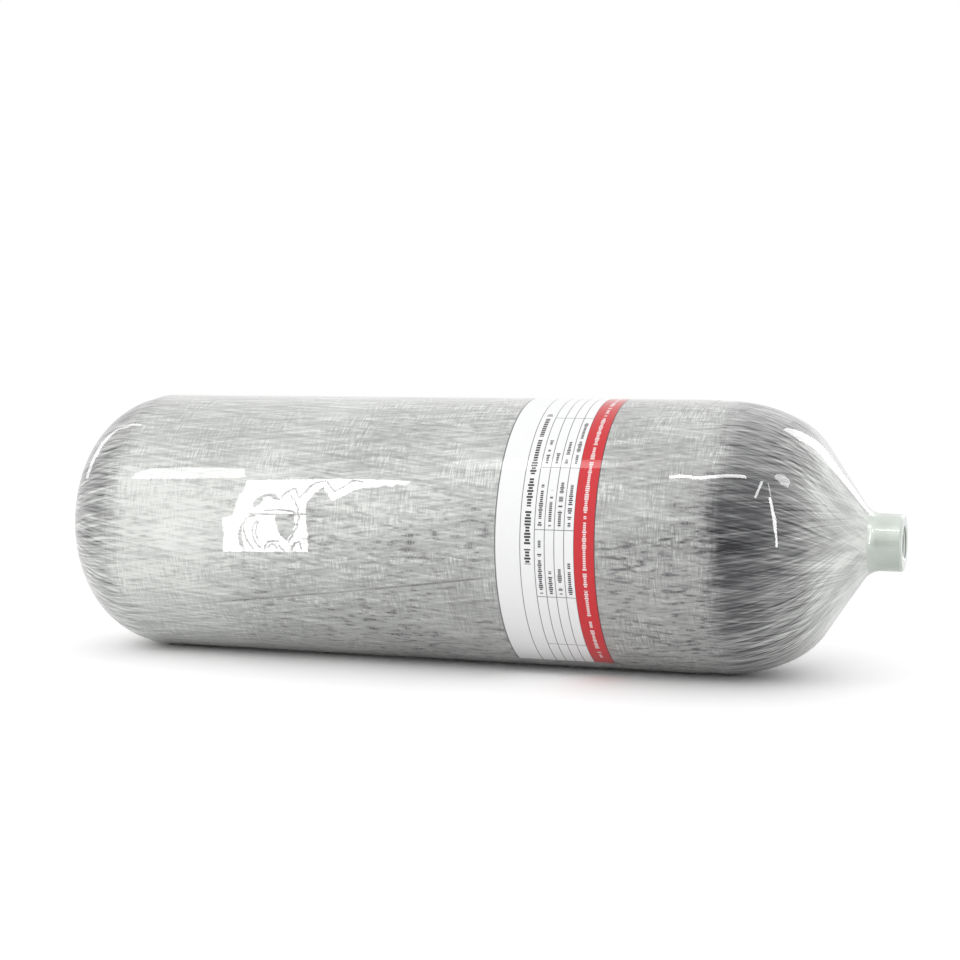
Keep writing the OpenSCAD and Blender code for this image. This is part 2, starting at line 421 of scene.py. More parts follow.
glass_line += [("inner " + name, start, end, centre) for name, start, end, centre in backwards(glass_inner)]
glass_line += [("edge", inner_start, lip_start, None)]
glass = draw_section("glass_winding_end_to_end", glass_line, {
    "lip": 0.2, "crown": 1.6, "knuckle": 1.7, "straight to shoulder": 7.0, "shoulder": 1.6, "upper": 1.5,
    "straight to root": 1.5, "root": 1.0, "edge": 0.3, "end": 0.5, "inner straight to shoulder": 60.0,
    "other": 5.0,
})
turn_up([(360.0, ROUND_STEPS)])
close_up()

# The path along the glass face from pole to neck, in short steps, with how far a strand has turned by then
PATH_STEP = 0.2
STRAND_START_R = 11.6    # the strands turn back beside the opening at the base
STRAND_END_R = 12.5      # and pass the neck at a steep slant
CHANGE_FROM, CHANGE_TO = 120.0, 430.0    # the slant goes over from the one to the other along the wall
STEEPEST = 0.985
path = []
for stretch in glass_outer:
    _, start, end, centre = stretch
    if centre:
        reach = hypot(start[0] - centre[0], start[1] - centre[1])
        first, turn = atan2(start[1] - centre[1], start[0] - centre[0]), swept(stretch)
        count = round(abs(turn) * reach / PATH_STEP)
        path += [step_from(centre, reach, first + turn * i / count) for i in range(count)]
    else:
        count = round(hypot(end[0] - start[0], end[1] - start[1]) / PATH_STEP)
        path += [(start[0] + (end[0] - start[0]) * i / count, start[1] + (end[1] - start[1]) * i / count)
                 for i in range(count)]
path = np.array(path + [collar_foot])
path_run = np.concatenate([[0.0], np.cumsum(np.hypot(*np.diff(path, axis=0).T))])
turn_back_r = np.interp(path[:, 1], [CHANGE_FROM, CHANGE_TO], [STRAND_START_R, STRAND_END_R])
lean = np.arcsin(np.clip(turn_back_r / path[:, 0], 0, STEEPEST))
turned = np.concatenate([[0.0], np.cumsum(np.diff(path_run) * (np.tan(lean) / path[:, 0])[:-1])])
path_tree = KDTree(len(path))
for i, (r, y) in enumerate(path):
    path_tree.insert((r, y, 0), i)
path_tree.balance()

# By distance from the base: how much the glass covers the carbon, how much of it is sleeve, how milky it is
COVER = ([0, 20, 50, 60, 430, 452, 478, 495, 505, 514, 528, 537],
         [0.70, 0.70, 0.71, 0.72, 0.27, 0.19, 0.18, 0.26, 0.37, 0.55, 0.75, 0.8])
SLEEVE = ([40, 70, 444, 468], [0, 1, 1, 0])
MILKY = ([0, 40, 60, 480, 500, 512, 526, 537], [0.15, 0.06, 0.0, 0.0, 0.28, 0.68, 1.0, 1.0])


def give_vectors(piece, name, vectors):
    """Stores the three parts of a vector for every vertex, for the piece's material to read"""
    layer = piece.data.attributes.new(name, "FLOAT_VECTOR", "POINT")
    layer.data.foreach_set("vector", np.stack(vectors, axis=1).ravel())


def lay_strands(piece):
    """Gives each vertex its place on the slanting strands and the threads that go round, and its cover"""
    radius, along, around, _ = section_of(piece)
    nearest = np.array([path_tree.find((r, y, 0))[1] for r, y in zip(radius, along)])
    run, spun = path_run[nearest], turned[nearest]
    angles = {"strands_right": around - spun, "strands_left": around + spun, "threads": around}
    for name, angle in angles.items():
        spots = np.array([WALL_FACE_R * np.cos(angle), WALL_FACE_R * np.sin(angle), run])
        give_vectors(piece, name, spots * MM)
    give_vectors(piece, "cover", [np.interp(along, *levels) for levels in (COVER, SLEEVE, MILKY)])


# Its outer face lies on that path, and it keeps still beside the collar
radius, along, around, _ = section_of(glass)
off_path = np.array([path_tree.find((r, y, 0))[2] for r, y in zip(radius, along)])
wavy_face(glass, (off_path < 0.05) & (along < WINDING_END - 0.5))
lay_strands(glass)


def new_group(name, taken, given):
    """A node group with the named kinds of socket it takes and gives: its tree, and both its ends"""
    tree = bpy.data.node_groups.new(name, "ShaderNodeTree")
    for socket, kind in taken.items():
        tree.interface.new_socket(socket, in_out="INPUT", socket_type="NodeSocket" + kind)
    for socket, kind in given.items():
        tree.interface.new_socket(socket, in_out="OUTPUT", socket_type="NodeSocket" + kind)
    return tree, tree.nodes.new("NodeGroupInput").outputs, tree.nodes.new("NodeGroupOutput").inputs


def swing_of(tree, value, weight):
    """A noise as a swing either side of nothing"""
    return times(tree, maths(tree, "SUBTRACT", value, 0.5), weight)


def total(tree, *values):
    """The sum of several values"""
    result = values[0]
    for value in values[1:]:
        result = maths(tree, "ADD", result, value)
    return result


# Wound glass: colour, relief and roughness of glass fibre in resin over carbon, for each piece of it
LAID = {
    "Strands Right": "strands_right",
    "Strands Left": "strands_left",
    "Threads": "threads",
    "Cover": "cover",
}
LOOK = {"Color": "Color", "Height": "Float", "Roughness": "Float"}
wound, taken, given = new_group("wound glass", dict.fromkeys(LAID, "Vector"), LOOK)
cover, sleeve_share, milky = add_node(wound, "ShaderNodeSeparateXYZ", {0: taken["Cover"]}).outputs
slants = (taken["Strands Right"], taken["Strands Left"])

# The slanting strands: soft pale ribbons, finer ones among them, and broad bands with open places between
ribbons = [stretched_noise(wound, slant, (480, 480, 20), 2.0, 0.55, 0.15) for slant in slants]
fine = [stretched_noise(wound, slant, (820, 820, 40), 2.0, 0.5) for slant in slants]
bands = [stretched_noise(wound, slant, (430, 430, 11), 1.0, 0.5) for slant in slants]
dashes = [stretched_noise(wound, slant, (700, 700, 130), 1.5, 0.5) for slant in slants]

# The threads that go round: very fine, broken here and there, in bands and soft clouds
thread = stretched_noise(wound, taken["Threads"], (130, 130, 1250), 1.0, 0.5)
short_gaps = stretched_noise(wound, taken["Threads"], (420, 420, 120), 1.0, 0.5)
thread_bands = stretched_noise(wound, taken["Threads"], (40, 40, 420), 2.0, 0.55)
cloud = stretched_noise(wound, taken["Threads"], (13, 13, 11), 3.0, 0.6)
scatter = stretched_noise(wound, taken["Threads"], (42, 42, 36), 2.0, 0.5)

# The carbon shows through where the strands that slant each way both leave an open place
open_places = times(wound, *[rise_between(wound, band, 0.37, 0.55, 1.0, 0.0) for band in bands])

# The pale ribbons stand out most half way up the shoulder, and less where the cover is thin or dense
THIN, DENSE = (0.16, 0.36), (0.50, 0.74)
swing = times(wound, rise_between(wound, cover, *THIN, 0.60, 1.25),
              rise_between(wound, cover, *DENSE, 1.0, 0.66))
calm = times(wound, rise_between(wound, cover, *THIN, 0.85, 1.0),
             rise_between(wound, cover, *DENSE, 1.0, 0.75))
spread = times(wound, total(wound, *ribbons, -1.0), swing)
spread = total(wound, spread, times(wound, total(wound, *fine, -1.0), calm))

# Painted light and shade: the wall is paler towards its top and its underside, and darker at the top of the
# base, with heights in metres from the axis, and this changes along the tank
height_on_tank, along_wall = add_node(wound, "ShaderNodeSeparateXYZ", {0: taken["Threads"]}).outputs[1:]
painted_light_top = times(wound, rise_between(wound, height_on_tank, 0.015, 0.078, 0.0, 0.34),
                 rise_between(wound, along_wall, 0.03, 0.25, -0.6, 1.0))
painted_light_low = times(wound, rise_between(wound, height_on_tank, -0.070, -0.010, 0.34, 0.0),
                  rise_between(wound, along_wall, 0.03, 0.25, 0.35, 1.0))
painted_light_by_height = total(wound, painted_light_top, painted_light_low)
bare = total(wound, cover, spread, painted_light_by_height, swing_of(wound, cloud, 0.30), times(wound, open_places, -0.42))

# The sleeve's ragged start: where its threads thin out
ragged = total(wound, sleeve_share, swing_of(wound, scatter, 0.8), swing_of(wound, thread_bands, 0.35),
               *[swing_of(wound, dash, 0.45) for dash in dashes])
sleeve_here = rise_between(wound, ragged, 0.12, 0.88)

# Painted shade: the sleeve darkens a little along the tank and at its top left; it is also darker towards
# its underside
tone_with_painted_shade = rise_between(wound, along_wall, 0.12, 0.46, 0.965, 0.85)
low_side = total(wound, height_on_tank, times(wound, along_wall, -0.19), 0.05)
tone_with_painted_shade = maths(wound, "SUBTRACT", tone_with_painted_shade, rise_between(wound, low_side, -0.070, 0.035, 0.155, 0.0))
painted_shade_top_left = times(wound, rise_between(wound, height_on_tank, 0.015, 0.070),
                 rise_between(wound, along_wall, 0.15, 0.35, 0.13, 0.04))
tone_with_painted_shade = maths(wound, "SUBTRACT", tone_with_painted_shade, painted_shade_top_left)

# Under the sleeve the dark gaps between strands show as soft dashes, in clouds
clouded = times(wound, rise_between(wound, cloud, 0.36, 0.62, 0.24, 1.0),
                rise_between(wound, along_wall, 0.10, 0.40, 0.50, 1.10))
# Painted sheen: the dashes fade out towards the top of the wall, where glare washes the surface pale
clouded = times(wound, clouded, rise_between(wound, height_on_tank, 0.010, 0.050, 1.0, 0.40))
open_threads = rise_between(wound, thread, 0.38, 0.62, 0.30, 1.0)
gaps = maths(wound, "MAXIMUM", times(wound, open_places, 0.32), rise_between(wound, short_gaps, 0.47, 0.77))
gaps = times(wound, times(wound, gaps, clouded), open_threads)

# One stray dark strand runs on under the sleeve below the mirrored window
STRAY_AT, STRAY_ANGLE = 215.0, -23.9
STRAY_START, STRAY_STOP = 100.0, 318.0
stray = radians(STRAY_ANGLE) - np.interp(STRAY_AT, path[:, 1], turned)
start_run, stop_run = np.interp([STRAY_START, STRAY_STOP], path[:, 1], path_run) * MM
x, y, run = add_node(wound, "ShaderNodeSeparateXYZ", {0: slants[0]}).outputs
off = total(wound, times(wound, x, -sin(stray)), times(wound, y, cos(stray)))
near = total(wound, times(wound, x, cos(stray)), times(wound, y, sin(stray)))
stray_strand = rise_between(wound, maths(wound, "ABSOLUTE", off), 0.3 * MM, 1.0 * MM, 1.0, 0.0)
for share in (
    rise_between(wound, near, 0.0, 0.01),
    rise_between(wound, run, start_run, start_run + 0.05),
    rise_between(wound, run, stop_run - 0.01, stop_run, 1.0, 0.0),
    rise_between(wound, thread, 0.36, 0.60, 0.35, 1.0),
):
    stray_strand = times(wound, stray_strand, share)
gaps = maths(wound, "MAXIMUM", gaps, times(wound, stray_strand, 0.6))

# The sleeve's look: its tone with the painted shade, less the gaps, with its threads and the strands below
# showing faintly
thread_weight = rise_between(wound, along_wall, 0.22, 0.40, 0.5, 0.72)
thread_tone = times(wound, swing_of(wound, thread, thread_weight),
                    rise_between(wound, scatter, 0.35, 0.65, 0.25, 1.0))
below = [swing_of(wound, noise, weight) for noise, weight in (
    (fine[0], 0.18), (fine[1], 0.18), (ribbons[0], 0.33), (ribbons[1], 0.33), (cloud, -0.26))]
under = total(wound, tone_with_painted_shade, times(wound, gaps, -0.58), thread_tone, *below)
covered = add_node(wound, "ShaderNodeMix", {0: sleeve_here, 2: bare, 3: under}).outputs[0]

# Towards the neck the strands crowd together and the resin is milky
milk = times(wound, milky, 0.85)
milk_tone = total(wound, 0.92, swing_of(wound, fine[0], 0.28), swing_of(wound, fine[1], 0.28),
                  swing_of(wound, scatter, 0.8))
covered = add_node(wound, "ShaderNodeMix", {0: milk, 2: covered, 3: milk_tone}).outputs[0]

# From bare carbon at 0 to dense pale glass at 1
ramp = add_node(wound, "ShaderNodeValToRGB", {0: covered})
stops = ramp.color_ramp.elements
stops[0].color = (0.040, 0.040, 0.045, 1)
stops[1].color = (0.80, 0.818, 0.788, 1)
stops.new(0.25).color = (0.115, 0.116, 0.120, 1)
stops.new(0.5).color = (0.246, 0.248, 0.247, 1)
stops.new(0.8).color = (0.50, 0.510, 0.494, 1)
wound.links.new(ramp.outputs[0], given["Color"])
height = add_node(wound, "ShaderNodeMix", {0: sleeve_here, 2: spread, 3: thread}).outputs[0]
wound.links.new(height, given["Height"])
wound.links.new(rise_between(wound, fine[0], 0.3, 0.7, 0.30, 0.46), given["Roughness"])

# Glass bends light much as resin does, so fibres and a soaked sheet shine little of their own under it
SHINE_UNDER_COAT = 0.12


def wound_glass(name, relief_strength):
    """A material of glass fibre in resin, from the strands laid on a piece's vertices"""
    material, tree, shader = new_material(name)
    laid = {
        socket: add_node(tree, "ShaderNodeAttribute", attribute_name=attribute).outputs["Vector"]
        for socket, attribute in LAID.items()
    }
    fibres = add_node(tree, "ShaderNodeGroup", node_tree=wound)
    for socket, value in laid.items():
        tree.links.new(value, fibres.inputs[socket])
    tree.links.new(fibres.outputs["Color"], shader.inputs["Base Color"])
    tree.links.new(fibres.outputs["Roughness"], shader.inputs["Roughness"])
    add_relief(tree, shader, fibres.outputs["Height"], relief_strength, 0.3 * MM)
    shader.inputs["Specular IOR Level"].default_value = SHINE_UNDER_COAT
    coat_over(shader)
    return material


glass.data.materials.append(wound_glass("glass strands in resin", 0.35))
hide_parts("glass_helical_winding")
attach(glass, "root")

# Glass sleeve
# Fine glass threads wound round and round on the straight wall, running out thin at both ends.
# They hold the strands below down and give the wall its pale woven look.
SLEEVE_R = 87.0
SLEEVE_T = 0.6
FEATHER = 9.0        # the sleeve runs out over this length at both ends
TIP = 0.15           # and ends this thick
SLEEVE_START = 42.0
SLEEVE_STOP = SHOULDER[1] - 6.0
LABEL_EDGE = 321.0
LABEL_W = 64.0
LABEL_LENGTH = 280.0
LABEL_T = 0.15
LABEL_MIDDLE = 28.5  # degrees above the -Y side
LABEL_ARC = degrees(LABEL_LENGTH / SLEEVE_R)
LABEL_LOW = LABEL_MIDDLE - LABEL_ARC / 2
LABEL_STEPS = 131
REST_STEPS = 125
LABEL_PITCH = 2.13


def on_knuckle(out, along):
    """Radius of the face that stands `out` from the liner, on the knuckle or the wall"""
    below = max(0.0, KNUCKLE[1] - along)
    return KNUCKLE[0] + sqrt((KNUCKLE_R + out) ** 2 - below ** 2)


sleeve_full = SLEEVE_START + FEATHER
feather_start = SLEEVE_STOP - FEATHER
tip_start = (on_knuckle(GLASS_OUT + TIP, SLEEVE_START), SLEEVE_START)
foot_start = (on_knuckle(GLASS_OUT, SLEEVE_START), SLEEVE_START)
full_start = (on_knuckle(GLASS_OUT + SLEEVE_T, sleeve_full), sleeve_full)
wall_start = (SLEEVE_R, KNUCKLE[1])
label_start = (SLEEVE_R, LABEL_EDGE)
label_stop = (SLEEVE_R, LABEL_EDGE + LABEL_W)
sleeve_line = [
    ("run out", tip_start, full_start, None),
    ("bend", full_start, wall_start, KNUCKLE),
    ("wall", wall_start, label_start, None),
    ("under label", label_start, label_stop, None),
    ("wall", label_stop, (SLEEVE_R, feather_start), None),
    ("run out", (SLEEVE_R, feather_start), (WALL_FACE_R + TIP, SLEEVE_STOP), None),
    ("tip", (WALL_FACE_R + TIP, SLEEVE_STOP), (WALL_FACE_R, SLEEVE_STOP), None),
    ("inner wall", (WALL_FACE_R, SLEEVE_STOP), (WALL_FACE_R, KNUCKLE[1]), None),
    ("inner bend", (WALL_FACE_R, KNUCKLE[1]), foot_start, KNUCKLE),
    ("tip", foot_start, tip_start, None),
]
sleeve = draw_section("glass_sleeve", sleeve_line, {
    "run out": 1.5, "bend": 1.5, "wall": 2.2, "under label": LABEL_PITCH, "tip": 0.2, "inner bend": 3.0,
    "other": 40.0,
}, around=LABEL_LOW)
turn_up([(LABEL_ARC, LABEL_STEPS), (360.0 - LABEL_ARC, REST_STEPS)])
close_up()
# Its outer face is the wall and the run-out at each end
radius, along, around, _ = section_of(sleeve)
from_knuckle = np.hypot(radius - KNUCKLE[0], along - KNUCKLE[1])
outer = radius > SLEEVE_R - 0.01
outer |= (along < KNUCKLE[1]) & (from_knuckle > KNUCKLE_R + GLASS_OUT + 0.05)
outer |= (along > feather_start - 0.1) & (radius > WALL_FACE_R + 0.05)
wavy_face(sleeve, outer)


def in_label(point_angle, point_along):
    """Whether a place on the wall is inside the label's outline, the angle in degrees"""
    above_edge = (point_angle - LABEL_LOW) % 360.0
    return 0 < above_edge < LABEL_ARC and LABEL_EDGE < point_along < LABEL_EDGE + LABEL_W


# The shallow pocket that the label's sheet fills, with sides that lean in by a little
POCKET_LEAN = 0.12
bpy.ops.object.mode_set(mode="EDIT")
bpy.ops.mesh.select_mode(type="FACE")
bpy.ops.mesh.select_all(action="DESELECT")
bpy.ops.object.mode_set(mode="OBJECT")
for face in sleeve.data.polygons:
    x, y, z = face.center
    outer_face = hypot(y, z - AXIS_Z) / MM > SLEEVE_R - 0.4
    if outer_face and in_label(degrees(atan2(z - AXIS_Z, -y)), (x - BASE_X) / MM):
        face.select = True
bpy.ops.object.mode_set(mode="EDIT")
bpy.ops.mesh.inset(thickness=POCKET_LEAN * MM, depth=-LABEL_T * MM)
bpy.ops.mesh.select_mode(type="VERT")
bpy.ops.object.mode_set(mode="OBJECT")
bpy.ops.object.shade_smooth_by_angle(angle=SMOOTH_UNDER)
lay_strands(sleeve)
sleeve.data.materials.append(wound_glass("glass threads in resin", 0.5))
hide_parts("glass_hoop_winding")
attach(sleeve, "root")

# Label
# A printed sheet pressed into the wet sleeve and coated over, so that its face is flush with the wall.
# It has a white field with ruled rows and a red band, and plain marks in the rows.
sheet_line = [("sheet", label_start, label_stop, None)]
label = draw_section("label_sheet", sheet_line, {"other": LABEL_PITCH}, around=LABEL_LOW)
turn_up([(LABEL_ARC, LABEL_STEPS)])
close_up()
sample = label.data.polygons[0]
if sample.normal.dot(sample.center - Vector((sample.center.x, 0, AXIS_Z))) < 0:
    bpy.ops.object.mode_set(mode="EDIT")
    bpy.ops.mesh.select_all(action="SELECT")
    bpy.ops.mesh.flip_normals()
    bpy.ops.object.mode_set(mode="OBJECT")
wavy_face(label, np.ones(len(label.data.vertices), bool))
skin = label.modifiers.new("sheet", "SOLIDIFY")
skin.thickness = LABEL_T * MM
skin.offset = -1.0
bpy.ops.object.modifier_apply(modifier=skin.name)
bpy.ops.object.shade_smooth_by_angle(angle=SMOOTH_UNDER)

# Where each point of the print is: mm up round the wall from the -Y side, and mm along from the base
radius, along, around, _ = section_of(label)
around = (np.degrees(around) - LABEL_LOW + 90) % 360 + LABEL_LOW - 90
give_vectors(label, "print_place", [np.radians(around) * SLEEVE_R, along, radius * 0])

# Ruled line: how much ink lies at a place, for a line of a width at another place, with a soft edge in mm
SOFT_EDGE = 0.12
ruled, taken, given = new_group(
    "ruled line", {"Place": "Float", "At": "Float", "Width": "Float"}, {"Ink": "Float"})
off = maths(ruled, "ABSOLUTE", maths(ruled, "SUBTRACT", taken["Place"], taken["At"]))
inside = maths(ruled, "SUBTRACT", times(ruled, taken["Width"], 0.5), off)
ink = maths(ruled, "ADD", maths(ruled, "DIVIDE", inside, SOFT_EDGE), 0.5, clamp=True)
ruled.links.new(ink, given["Ink"])

paper, tree, shader = new_material("label print")
place = add_node(tree, "ShaderNodeAttribute", attribute_name="print_place").outputs["Vector"]
up, along_axis, _ = add_node(tree, "ShaderNodeSeparateXYZ", {0: place}).outputs


def ruled_line(place, at, width):
    """A soft-edged stripe of a width, centred at a place, in mm"""
    sizes = {"Place": place, "At": at, "Width": width}
    return add_node(tree, "ShaderNodeGroup", sizes, node_tree=ruled).outputs[0]


def arc_mm(angle):
    """Distance round the wall to an angle above the -Y side"""
    return radians(angle) * SLEEVE_R


def marks_row(row, height, low, high, pitch, seed):
    """A row of small plain upright marks, some tall and some short, in groups, between two angles"""
    cell = maths(tree, "FLOOR", maths(tree, "DIVIDE", up, pitch))
    word = maths(tree, "FLOOR", maths(tree, "DIVIDE", up, pitch * 1.37))

    def chance(value, offset):
        seeded = maths(tree, "ADD", value, seed + offset)
        return add_node(tree, "ShaderNodeTexWhiteNoise", {"W": seeded}, noise_dimensions="1D").outputs[0]

    there = maths(tree, "GREATER_THAN", chance(word, 0.3), 0.13)
    tall = maths(tree, "GREATER_THAN", chance(cell, 0.7), 0.6)
    size = times(tree, maths(tree, "ADD", 0.68, times(tree, tall, 0.32)), height)
    part = times(tree, maths(tree, "FRACT", maths(tree, "DIVIDE", up, pitch)), pitch)
    fill = times(tree, ruled_line(part, pitch / 2, pitch * 0.72), there)
    span = ruled_line(up, (arc_mm(low) + arc_mm(high)) / 2, arc_mm(high) - arc_mm(low))
    return times(tree, times(tree, fill, span), ruled_line(along_axis, row, size))


def join(masks):
    """The strongest of several masks"""
    strongest = masks[0]
    for mask in masks[1:]:
        strongest = maths(tree, "MAXIMUM", strongest, mask)
    return strongest


# The rules along the rows, in mm from the base, and those across the table, in degrees above the -Y side
TABLE_START, TABLE_STOP = 346.8, 371.6
in_table = ruled_line(along_axis, (TABLE_START + TABLE_STOP) / 2, TABLE_STOP - TABLE_START)
lines = join([ruled_line(along_axis, row, 0.5) for row in (337.6, TABLE_START, 353.2, 359.3, 365.5)])
columns = join([ruled_line(up, arc_mm(angle), 0.45) for angle in (32.4, 6.2, -21.8, 60.5, -48.0)])
lines = maths(tree, "MAXIMUM", lines, times(tree, columns, in_table))

# The marks in the table: each column's height of mark, and in each row the two angles and a seed
MARK_ROWS = (350.0, 356.3, 362.4, 368.6)
MARK_PITCH = 1.3
MARK_COLUMNS = (
    (2.7, ((7.5, 25.0, 11.0), (7.5, 22.5, 23.0), (7.5, 26.0, 37.0), (7.5, 25.0, 41.0))),
    (2.5, ((34.0, 46.0, 53.0), (34.0, 39.5, 61.0), (34.0, 45.5, 73.0), (34.0, 57.0, 83.0))),
    (2.7, ((-20.5, 2.0, 91.0), (-20.5, -9.5, 97.0), (-20.5, -9.5, 103.0), (-20.5, -7.0, 109.0))),
)
title = marks_row(342.3, 4.0, -8.0, 66.0, 1.9, 3.0)
small = []
for height, cells in MARK_COLUMNS:
    for row, (low, high, seed) in zip(MARK_ROWS, cells):
        small.append(marks_row(row, height, low, high, MARK_PITCH, seed))

# The red band with its pale marks, and the dark lines at the sheet's edges and between the fields
RED_BAND, RED_BAND_W = 378.3, 13.3
red_band = ruled_line(along_axis, RED_BAND, RED_BAND_W)
white_marks = marks_row(378.4, 2.6, -58.0, 100.0, 1.35, 131.0)
edges = ((321.3, 1.0), (371.7, 0.35), (384.7, 0.7))
edge_lines = join([ruled_line(along_axis, at, width) for at, width in edges])

INK_SHOWS = 0.85
INK = (0.035, 0.033, 0.04, 1)
# Dark lines along the sheet's edges and between the fields
EDGE_DARK_LINES = (0.03, 0.03, 0.035, 1)
PALE_MARK = (0.93, 0.90, 0.90, 1)
fibre = stretched_noise(tree, place, (0.06, 1.2, 1), 2.0)
white = mix_colours(tree, fibre, (0.90, 0.905, 0.91, 1), (0.955, 0.955, 0.96, 1))
red = mix_colours(tree, fibre, (0.60, 0.006, 0.014, 1), (0.68, 0.012, 0.022, 1))
dark = join([times(tree, lines, INK_SHOWS), title, join(small)])
printed = mix_colours(tree, dark, white, INK)
red = mix_colours(tree, times(tree, white_marks, INK_SHOWS), red, PALE_MARK)
printed = mix_colours(tree, red_band, printed, red)
printed = mix_colours(tree, times(tree, edge_lines, INK_SHOWS), printed, EDGE_DARK_LINES)
tree.links.new(printed, shader.inputs["Base Color"])
tree.links.new(rise_between(tree, fibre, 0.3, 0.7, 0.30, 0.42), shader.inputs["Roughness"])
shader.inputs["Specular IOR Level"].default_value = SHINE_UNDER_COAT
coat_over(shader)
label.data.materials.append(paper)
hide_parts("data_label")
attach(label, "root")

# Studio
# A plain white floor and surroundings, with panels that stand where the photograph's lamps did.
# None of it belongs to the tank, and the panels show only in its gloss.
camera_data = bpy.data.cameras.new("camera")
camera_data.lens = 73.04
camera_data.sensor_width = 36.0
camera_data.clip_end = 50.0
camera = bpy.data.objects.new("camera", camera_data)
camera.location = (0.42886, -1.21054, 0.20803)
camera.rotation_euler = Vector((-0.33159767, 0.94090654, -0.06883216)).to_track_quat("-Z", "Y").to_euler()
bpy.context.collection.objects.link(camera)
bpy.context.scene.camera = camera


def floor_sheet(name, low, high):
    """A level sheet of floor between two corners, made from a primitive in place"""
    bpy.ops.object.select_all(action="DESELECT")
    bpy.ops.mesh.primitive_plane_add(size=1.0, enter_editmode=True, location=(0, 0, 0))
    bpy.ops.transform.resize(value=(high[0] - low[0], high[1] - low[1], 1))
    bpy.ops.transform.translate(value=((low[0] + high[0]) / 2, (low[1] + high[1]) / 2, 0))
    bpy.ops.object.mode_set(mode="OBJECT")
    sheet = bpy.context.object
    sheet.name = sheet.data.name = name
    sheet.data.materials.append(floor_paint)
    return sheet


floor_paint = bpy.data.materials.new("white floor")
floor_paint.use_nodes = True
tree = floor_paint.node_tree
tree.nodes.clear()
# The floor is white to the camera and in the tank's gloss, and throws back a little less light than that
light_path = add_node(tree, "ShaderNodeLightPath").outputs
matt = mix_colours(tree, light_path["Is Glossy Ray"], (0.85, 0.85, 0.85, 1), (1.0, 1.0, 1.0, 1))
matt = mix_colours(tree, light_path["Is Camera Ray"], matt, (1.13, 1.13, 1.13, 1))
paint = add_node(tree, "ShaderNodeBsdfDiffuse", {"Color": matt}).outputs[0]
add_node(tree, "ShaderNodeOutputMaterial", {"Surface": paint})
floor_sheet("floor_under", (-1.0, -0.20), (1.0, 1.0))
for name, low, high in (
    ("floor_front", (-6, -6), (6, -0.20)),
    ("floor_back", (-6, 1.0), (6, 6)),
    ("floor_left", (-6, -0.20), (-1.0, 1.0)),
    ("floor_right", (1.0, -0.20), (6, 1.0)),
):
    floor_sheet(name, low, high).visible_glossy = False

world = bpy.data.worlds.new("white surroundings")
bpy.context.scene.world = world
world.use_nodes = True
tree = world.node_tree
tree.nodes.clear()
backdrop = add_node(tree, "ShaderNodeBackground", {"Color": (1, 1, 1, 1), "Strength": 1.0})
add_node(tree, "ShaderNodeOutputWorld", {"Surface": backdrop.outputs[0]})


def only_mirrored(thing):
    """Lets only the gloss of the resin and the metal show a thing, which then neither lights nor shades"""
    thing.visible_camera = thing.visible_diffuse = thing.visible_shadow = thing.visible_transmission = False


def lamp_paint(name, brightness, middle=(0, 0, 0), reach=None):
    """The glow of a lamp's face, even all over, or fading out at a reach from its middle"""
    paint = bpy.data.materials.new(name)
    paint.use_nodes = True
    tree = paint.node_tree
    tree.nodes.clear()
    strength = brightness
    if reach:
        place = add_node(tree, "ShaderNodeTexCoord").outputs["Object"]
        off = add_node(tree, "ShaderNodeVectorMath", {0: place, 1: tuple(middle)}, operation="DISTANCE")
        strength = rise_between(tree, off.outputs["Value"], 0.15 * reach, reach, brightness, 1.0)
    light = add_node(tree, "ShaderNodeEmission", {"Color": (1, 1, 1, 1), "Strength": strength})
    add_node(tree, "ShaderNodeOutputMaterial", {"Surface": light.outputs[0]})
    return paint


face_along = np.append(path[:, 1], [ROOT[1], TANK_LENGTH])
face_radius = np.append(path[:, 0], [NECK_R, NECK_R])


def gleam(name, places, brightness, distance=1.3, reach=None):
    """A lamp cut so that its mirror image in the tank's gloss covers an outline, as the camera sees it.

    The outline is a row of places on the tank, each in mm from its base and degrees above the -Y side,
    and some with the degrees by which the face there is taken to lean further towards the neck.
    """
    spots, rays = [], []
    for along, angle, *lean in places:
        before, after = np.interp([along - 0.5, along + 0.5], face_along, face_radius)
        out = Vector((0, -cos(radians(angle)), sin(radians(angle))))
        spot = Vector((BASE_X + along * MM, 0, AXIS_Z)) + out * (before + after) / 2 * MM
        tilt = atan2(before - after, 1.0) + radians(sum(lean))
        outward = out * cos(tilt) + Vector((sin(tilt), 0, 0))
        sight = (spot - camera.location).normalized()
        spots.append(spot)
        rays.append(sight - 2 * sight.dot(outward) * outward)
    away = sum(rays, Vector()).normalized()
    middle = sum(spots, Vector()) / len(spots) + away * distance
    corners = [spot + ray * ((middle - spot).dot(away) / ray.dot(away)) for spot, ray in zip(spots, rays)]
    one_vertex(corners[0])
    for here, there in zip(corners, corners[1:]):
        bpy.ops.mesh.extrude_region_move(TRANSFORM_OT_translate={"value": there - here})
    bpy.ops.mesh.select_all(action="SELECT")
    bpy.ops.mesh.edge_face_add()
    bpy.ops.object.mode_set(mode="OBJECT")
    card = bpy.context.object
    card.name = card.data.name = name
    card.data.materials.append(lamp_paint(name, brightness, middle, reach))
    only_mirrored(card)


gleam("window", [
    (135, -7.8), (135, -4.3), (136, 0.0), (135.5, 3.3), (135, 7.2), (143, 8.0), (144.5, 11.0),
    (145.5, 15.0), (148, 19.0), (150, 23.3), (160, 23.6), (187, 24.3), (222, 25.1), (254, 25.2),
    (264, 24.8), (260, 23.0), (254, 23.8), (251, 22.0), (245, 23.1), (240, 21.9), (232, 21.5),
    (224, 20.4), (219, 18.0), (215, 16.7), (211, 15.4), (208, 18.3), (205, 21.5), (202, 19.9),
    (198, 16.8), (195, 12.5), (195, 9.1), (195, 5.0), (196, 0.8), (196, -3.4), (196, -6.4),
    (183, -6.6), (166, -7.0), (148, -7.4),
], 16, 1.4)
